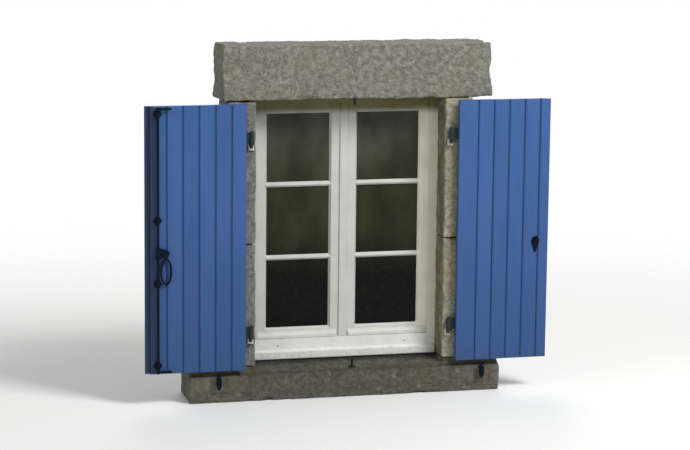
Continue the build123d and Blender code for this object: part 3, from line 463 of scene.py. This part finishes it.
# Screw heads on the guide plates and the catch: slotted, filed by hand, painted with the iron.
# Each sits on the plate with its slot turned another way, as the smith left it.
across_slot = (-1, -0.85, -0.6, -0.35, -0.16, -0.11, 0.11, 0.16, 0.35, 0.6, 0.85, 1)
along_slot = (-1, -0.9, -0.7, -0.45, -0.15, 0.15, 0.45, 0.7, 0.9, 1)
slot_half_width = 0.12
slot_floor = 0.30
rim_height = 0.35
dome_height = 0.65
head_rise = 0.0016
small_head = 0.0036
towards_street = -1
rod_x = -1.022
guide_face = -0.053
guide_heights = (0.215, 0.642, 0.966, 1.509)
guide_ear = 0.0165
catch_face = -0.054
catch_holes = ((0.976, 0.800), (1.000, 0.800), (0.988, 0.763))
head_turns = random.Random(3)


def screw_heads(name, places, outwards, radius, body, material):
    """Domed slotted heads in one mesh; outwards is -1 towards the street, 1 towards the room."""
    mesh = bmesh.new()
    for centre in places:
        turn = head_turns.uniform(0, math.pi)
        along = Vector((math.cos(turn), 0, math.sin(turn))) * radius
        across = Vector((-math.sin(turn), 0, math.cos(turn))) * radius
        rows = []
        for v in across_slot:
            row = []
            for u in along_slot:
                x = u * math.sqrt(1 - v * v / 2)
                z = v * math.sqrt(1 - u * u / 2)
                dome = math.sqrt(max(0.0, 1 - (x * x + z * z) * 0.95))
                share = slot_floor if abs(v) < slot_half_width else rim_height + dome_height * dome
                lift = Vector((0, outwards * head_rise * share, 0))
                row.append(mesh.verts.new(Vector(centre) + along * x + across * z + lift))
            rows.append(row)
        for first, second in zip(rows, rows[1:]):
            for i in range(len(first) - 1):
                mesh.faces.new((first[i], first[i + 1], second[i + 1], second[i]))
        rim = rows[0] + [row[-1] for row in rows[1:]]
        rim += rows[-1][-2::-1] + [row[0] for row in rows[-2:0:-1]]
        seat = [mesh.verts.new(Vector((vertex.co.x, centre[1], vertex.co.z))) for vertex in rim]
        for i, vertex in enumerate(rim):
            after = (i + 1) % len(rim)
            mesh.faces.new((vertex, seat[i], seat[after], rim[after]))
        mesh.faces.new(seat)
    bmesh.ops.recalc_face_normals(mesh, faces=mesh.faces)
    data = bpy.data.meshes.new(name)
    mesh.to_mesh(data)
    mesh.free()
    heads = bpy.data.objects.new(name, data)
    bpy.context.scene.collection.objects.link(heads)
    data.materials.append(material)
    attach(heads, body)


guide_screws = [(rod_x + aside, guide_face, z) for z in guide_heights
                for aside in (-guide_ear, guide_ear)]
screw_heads("guide_screws", guide_screws, towards_street, small_head, "left_shutter",
            iron_black)
catch_screws = [(x, catch_face, z) for x, z in catch_holes]
screw_heads("catch_screws", catch_screws, towards_street, small_head, "right_shutter",
            iron_black)

# Window frame of painted timber, set in the stone rebate: two stiles, a head and a sill piece.
# The warm white paint is grimy along its foot. Under the lintel it is brown with dirt where no
# rain washes it and with painted shade of the lintel. Uprights, levels and the sill piece get
# darker and lighter copies of the white as painted light, the sill piece lightest. By the right
# jamb it is yellower and lighter with painted bounced light. It is plain on the room side.
# Lighter and darker copies of one white: painted light, the sill piece lightest.
upright_tone = (0.560, 0.566, 0.525)
level_tone = (0.620, 0.622, 0.578)
sill_piece_tone = (0.760, 0.762, 0.712)
# Yellower and lighter with painted light bounced from the right jamb.
jamb_bounce_tone = (0.800, 0.775, 0.645)
room_side_tone = (0.620, 0.622, 0.580)
foot_grime = (0.26, 0.25, 0.20)
lintel_shade_and_dirt = (0.118, 0.100, 0.018)
room_side = (0.196, 0.208)
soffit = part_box("lintel_stone")[0][2]
frame_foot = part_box("frame_sill")[0][2]


def window_paint(name, along, white):
    """Warm white gloss paint with brush lines along the member, grime low down, and dirt with
    painted lintel shade on top.
    """
    place = start_material(name)
    height = place.axis("Z")
    stretch = [0.04 if axis == along else 1 for axis in "XYZ"]
    brush = place.stretched(*stretch).noise(420, 3)
    clouds = place.noise(7, 4, 0.6)
    outdoors = 1 - place.axis("Y").step(*room_side)
    full, clouded, brushed = [outdoors.mix(shade(room_side_tone, factor), shade(white, factor))
                              for factor in (1.0, 0.88, 0.78)]
    colour = clouds.step(0.3, 0.75).mix(full, clouded)
    colour = (brush.step(0.55, 0.8) * 0.22).mix(colour, brushed)
    grime_and_shade = 1 - height.step(frame_foot, frame_foot + 0.10)
    grime_and_shade = grime_and_shade * place.noise(48, 5, 0.7).step(0.45, 0.7)
    colour = (grime_and_shade * 0.35).mix(colour, foot_grime)
    # Dirt and painted shade of the lintel on the members under it.
    unwashed_and_shaded = height.step(soffit - 0.105, soffit - 0.055) * (0.80 + clouds * 0.3)
    colour = (unwashed_and_shaded * outdoors).mix(colour, lintel_shade_and_dirt)
    return finish_material(name, colour, 0.40 + brush * 0.16, brush.bump(0.0006), specular=0.3)


upright_white = window_paint("upright white", "Z", upright_tone)
bounce_lit_white = window_paint("bounce lit side white", "Z", jamb_bounce_tone)
level_white = window_paint("level white", "X", level_tone)
sill_piece_white = window_paint("sill piece white", "X", sill_piece_tone)
dress("frame_left_stile", upright_white)
dress("frame_right_stile", bounce_lit_white)
dress("frame_head", level_white)
dress("frame_sill", sill_piece_white)

# Sashes: each has two stiles, two rails and two glazing bars of the same timber and paint.
# The cover strip on the right sash laps over the joint in the middle of the window.
for side, hinge_stile_white in (("left", upright_white), ("right", bounce_lit_white)):
    dress(f"{side}_sash_hinge_stile", hinge_stile_white)
    dress(f"{side}_sash_meeting_stile", upright_white)
    for member in ("top_rail", "bottom_rail", "bars"):
        dress(f"{side}_sash_{member}", level_white)
dress("cover_strip", upright_white)

# Panes of drawn glass bedded in putty, slightly wavy, with a thin film of dust.
# The room behind is unlit, so they are near black low down; towards the top a painted grey green
# reflection lies on them in patches.
lower_row_tone = (0.0005, 0.0010, 0.0005)
middle_row_reflection = (0.036, 0.040, 0.015)
top_row_reflection = (0.070, 0.072, 0.054)
dust_tone = (0.026, 0.036, 0.014)
place = start_material("window glass")
ripple = place.noise(5, 2)
# Painted reflection in patches on the middle and top rows.
reflection_patches = place.stretched(1, 1, 0.6).noise(6, 3, 0.5).step(0.30, 0.75) * 0.65 + 0.35
middle_row = place.axis("Z").step(0.58, 0.88)
top_row = place.axis("Z").step(1.02, 1.36)
dust = place.noise(34, 5, 0.65).step(0.45, 0.8)
glass_colour = (reflection_patches * middle_row).mix(lower_row_tone, middle_row_reflection)
glass_colour = (reflection_patches * top_row).mix(glass_colour, top_row_reflection)
glass_colour = (dust * 0.22).mix(glass_colour, dust_tone)
window_glass = finish_material("window glass", glass_colour, 0.06 + dust * 0.10,
                               ripple.bump(0.0015), specular=0.11)
for side in ("left", "right"):
    dress(f"{side}_sash_panes", window_glass)

# Sash hinges: steel plates and knuckles on the frame and the sashes, painted with the window.
# Each plate is held by two slotted screws on the room side.
hinge_paint = (0.58, 0.58, 0.54)
worn_hinge = (0.28, 0.22, 0.16)
plate_face = 0.216
frame_plate_x = 0.4965
frame_plate_heights = (0.396, 1.386)
sash_plate_x = 0.4565
sash_plate_heights = (0.4325, 1.4225)
plate_holes = ((-0.009, 0.009), (0.009, -0.009))
hinge_head = 0.0040
towards_room = 1
hinge_white = painted_iron("hinge paint", hinge_paint, worn_hinge, wear=-0.03)
for name in ("frame_hinges", "left_sash_hinges", "right_sash_hinges"):
    dress(name, hinge_white)
frame_plates = [(side * frame_plate_x, z) for side in (-1, 1) for z in frame_plate_heights]
left_plates = [(-sash_plate_x, z) for z in sash_plate_heights]
right_plates = [(sash_plate_x, z) for z in sash_plate_heights]
for name, plates, body in (
        ("frame_hinge_screws", frame_plates, "masonry"),
        ("left_sash_hinge_screws", left_plates, "left_sash"),
        ("right_sash_hinge_screws", right_plates, "right_sash")):
    places = [(x + aside, plate_face, z + up) for x, z in plates for aside, up in plate_holes]
    screw_heads(name, places, towards_room, hinge_head, body, hinge_white)

# Cremone bolt on the room side of the left sash: a case with a knob that drives two rods.
# It is iron in dark paint. The rods slide in guides and enter keeps on the frame.
cremone_brown = (0.035, 0.034, 0.032)
worn_cremone = (0.16, 0.13, 0.08)
case_screws = [(-0.003, 0.247, 0.691), (-0.003, 0.247, 0.785)]
cremone_paint = painted_iron("cremone paint", cremone_brown, worn_cremone, wear=0.0)
for name in ("cremone_case", "cremone_knob", "cremone_upper_rod", "cremone_lower_rod",
             "cremone_guides", "cremone_keeps"):
    dress(name, cremone_paint)
screw_heads("cremone_case_screws", case_screws, towards_room, small_head, "left_sash",
            cremone_paint)

# Studio: a plain pale floor that fades into a white surrounding, one soft lamp from the front
# right and above, weaker ones from the left and from behind, and even light from all round.
floor_reach = 12
floor_tone = (0.86, 0.86, 0.85)
fade_distance = (1.6, 5.5)
ambient = 0.36
floor_mesh = bpy.data.meshes.new("floor")
shape = bmesh.new()
bmesh.ops.create_grid(shape, x_segments=4, y_segments=4, size=floor_reach)
shape.to_mesh(floor_mesh)
shape.free()
floor = bpy.data.objects.new("floor", floor_mesh)
bpy.context.scene.collection.objects.link(floor)
floor.location = (0, 0, cad_box[0][2])
place = start_material("floor")
from_middle = place.node("VectorMath", {"operation": "LENGTH"}, {"Vector": place}, "Value")
faded = from_middle.step(*fade_distance)
pale = finish_material("floor", floor_tone, 0.9, specular=0.1)
opaque = Value(pale.node_tree, pale.node_tree.nodes["Principled BSDF"].outputs[0])
clear = faded.node("BsdfTransparent")
blended = faded.node("MixShader", sockets={"Fac": faded, "Shader": opaque, "Shader_001": clear})
pale.node_tree.links.new(blended.socket, pale.node_tree.nodes["Material Output"].inputs["Surface"])
floor_mesh.materials.append(pale)

world = bpy.data.worlds.new("studio")
bpy.context.scene.world = world
world.use_nodes = True
background = world.node_tree.nodes["Background"]
rays = world.node_tree.nodes.new("ShaderNodeLightPath")
seen = 0.0
for kind in ("Camera", "Glossy", "Transmission"):
    seen = seen + Value(world.node_tree, rays.outputs[f"Is {kind} Ray"])
strength = seen.math("MAXIMUM", seen.step(0.0, 1.0), ambient)
world.node_tree.links.new(strength.socket, background.inputs["Strength"])
background.inputs["Color"].default_value = (1, 1, 1, 1)


def soft_lamp(name, place, aim, size, watts):
    """A square area lamp that faces a point."""
    lamp = bpy.data.lights.new(name, "AREA")
    lamp.size = size
    lamp.energy = watts
    holder = bpy.data.objects.new(name, lamp)
    holder.location = place
    holder.rotation_euler = (Vector(aim) - Vector(place)).to_track_quat("-Z", "Y").to_euler()
    bpy.context.scene.collection.objects.link(holder)


middle = (0, 0, 0.9)
soft_lamp("front lamp", (3.2, -4.2, 6.4), middle, size=2.4, watts=500)
soft_lamp("side lamp", (-6.0, -4.0, 3.5), middle, size=3.5, watts=70)
soft_lamp("back lamp", (1.0, 6.5, 4.5), middle, size=4.0, watts=170)

# Camera: it stands where the photograph was taken from, turned to the window by the shortest
# way. The lens is the photograph's, made longer so that the window fills the picture.
photo_width = 690
photo_lens_px = 1240
enlargement = 1.98
sensor_width = 36
stand = Vector((-3.100, -12.1426, 3.0555))
look = Vector((0.24146, 0.95555, -0.16918))
sideways = Vector((0.96990, -0.24328, 0.01021))
upwards = sideways.cross(look)
camera_data = bpy.data.cameras.new("camera")
camera_data.sensor_width = sensor_width
camera_data.lens = sensor_width * photo_lens_px / photo_width * enlargement
camera = bpy.data.objects.new("camera", camera_data)
camera.matrix_world = Matrix((sideways, upwards, -look)).transposed().to_4x4()
camera.location = stand
bpy.context.scene.collection.objects.link(camera)
bpy.context.scene.camera = camera
bpy.context.scene.view_settings.view_transform = "Standard"
